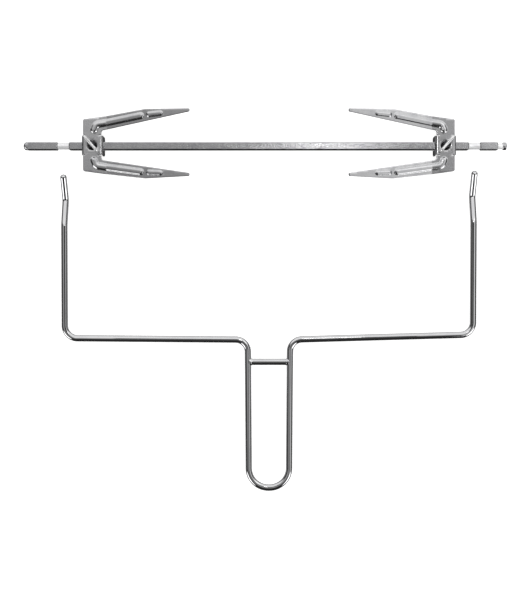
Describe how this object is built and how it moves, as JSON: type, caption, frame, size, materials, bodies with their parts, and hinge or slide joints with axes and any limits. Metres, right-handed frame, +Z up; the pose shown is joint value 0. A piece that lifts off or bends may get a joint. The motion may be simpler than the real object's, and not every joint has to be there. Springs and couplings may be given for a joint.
{
  "type": "rotisserie spit set",
  "caption": "Rotisserie accessory set: square spit rod, sliding two-tine meat forks with thumb screws, and a bent-wire lifting handle with V cradles.",
  "frame": {"origin": "middle of the set's footprint, on the table it lies on", "axes": "+X along the spit rod from its drive end to its button end, +Y from the handle's grip to the rod, +Z up"},
  "size_m": [0.38, 0.2985, 0.0283],
  "materials": {
    "rod_steel": "cold-drawn square bar, satin nickel plate with fine lengthwise grain",
    "fork_steel": "stamped sheet, bright nickel-chrome plate",
    "nut_steel": "turned, dull zinc-nickel plate",
    "screw_steel": "coined head and rolled thread, bright plate",
    "wire_chrome": "drawn round wire, bright chrome plate"
  },
  "bodies": {
    "spit": {"spit_rod": "rod_steel"},
    "left_fork": {"left_fork": "fork_steel", "left_weld_nut": "nut_steel"},
    "right_fork": {"right_fork": "fork_steel", "right_weld_nut": "nut_steel"},
    "left_screw": {"left_thumb_screw": "screw_steel"},
    "right_screw": {"right_thumb_screw": "screw_steel"},
    "lifter": {"lifter_wire": "wire_chrome", "lifter_crossbar": "wire_chrome"}
  },
  "joints": [
    {"name": "left_fork_slide", "type": "slide", "parent": "spit", "child": "left_fork", "axis": [1, 0, 0], "range_m": [-0.01, 0.057]},
    {"name": "right_fork_slide", "type": "slide", "parent": "spit", "child": "right_fork", "axis": [1, 0, 0], "range_m": [-0.057, 0.01]},
    {"name": "left_screw_turn", "type": "hinge", "parent": "left_fork", "child": "left_screw", "pos_m": [-0.13495, 0.12235, 0.0125], "axis": [0, 0, 1], "range_deg": [0, 720]},
    {"name": "right_screw_turn", "type": "hinge", "parent": "right_fork", "child": "right_screw", "pos_m": [0.14095, 0.12235, 0.0125], "axis": [0, 0, 1], "range_deg": [0, 720]},
    {"name": "lifter_lift", "type": "slide", "parent": "spit", "child": "lifter", "axis": [0, 0, 1], "range_m": [0, 0.15]}
  ]
}
